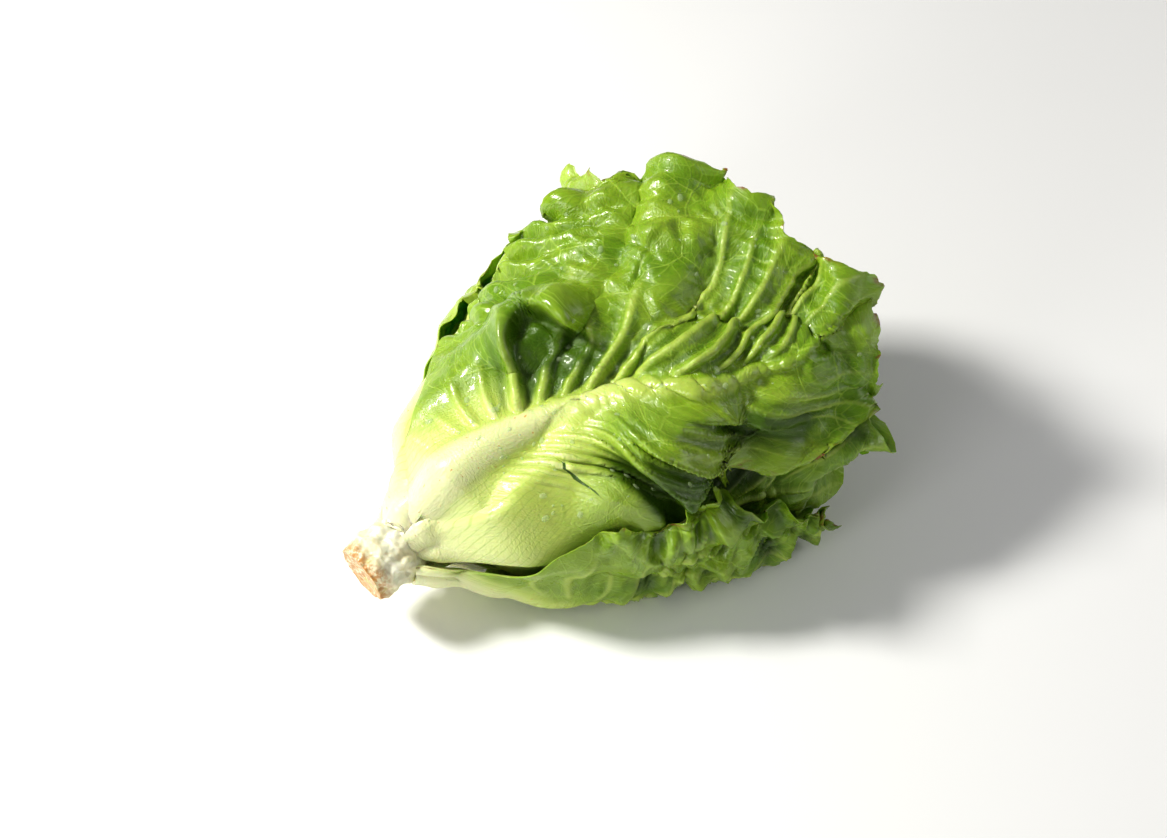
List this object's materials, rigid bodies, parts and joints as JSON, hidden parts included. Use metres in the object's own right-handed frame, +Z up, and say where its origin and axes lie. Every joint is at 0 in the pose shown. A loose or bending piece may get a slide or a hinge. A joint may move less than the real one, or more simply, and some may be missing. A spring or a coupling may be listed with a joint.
{
  "type": "green leaf lettuce",
  "caption": "Loose head of green leaf lettuce lying on its side, with a cut stem and waved, pale-ribbed leaves in a spiral. Rests on a table, tray or shelf.",
  "frame": {"origin": "on the surface it rests on, under the middle of the head's box", "axes": "+X from the cut stem towards the leaf tips, +Y to the head's left when seen from behind the stem, +Z up"},
  "size_m": [0.2814, 0.2598, 0.1603],
  "materials": {
    "outer_leaf": "glossy wet blade, mid green with pale veins, fading to a cream rib",
    "inner_leaf": "satin blade, light green with pale veins",
    "heart_leaf": "satin blade, pale yellow-green",
    "stem": "cream, with a dry orange-brown cut face",
    "water": "clear drops"
  },
  "bodies": {
    "root": {"stem": "stem", "outer_leaf_1": "outer_leaf", "outer_leaf_2": "outer_leaf", "outer_leaf_3": "outer_leaf", "outer_leaf_4": "outer_leaf", "outer_leaf_5": "outer_leaf", "outer_leaf_6": "outer_leaf", "inner_leaf_1": "inner_leaf", "inner_leaf_2": "inner_leaf", "inner_leaf_3": "inner_leaf", "inner_leaf_4": "inner_leaf", "inner_leaf_5": "inner_leaf", "inner_leaf_6": "inner_leaf", "heart_leaf_1": "heart_leaf", "heart_leaf_2": "heart_leaf", "heart_leaf_3": "heart_leaf", "heart_leaf_4": "heart_leaf"}
  },
  "joints": []
}
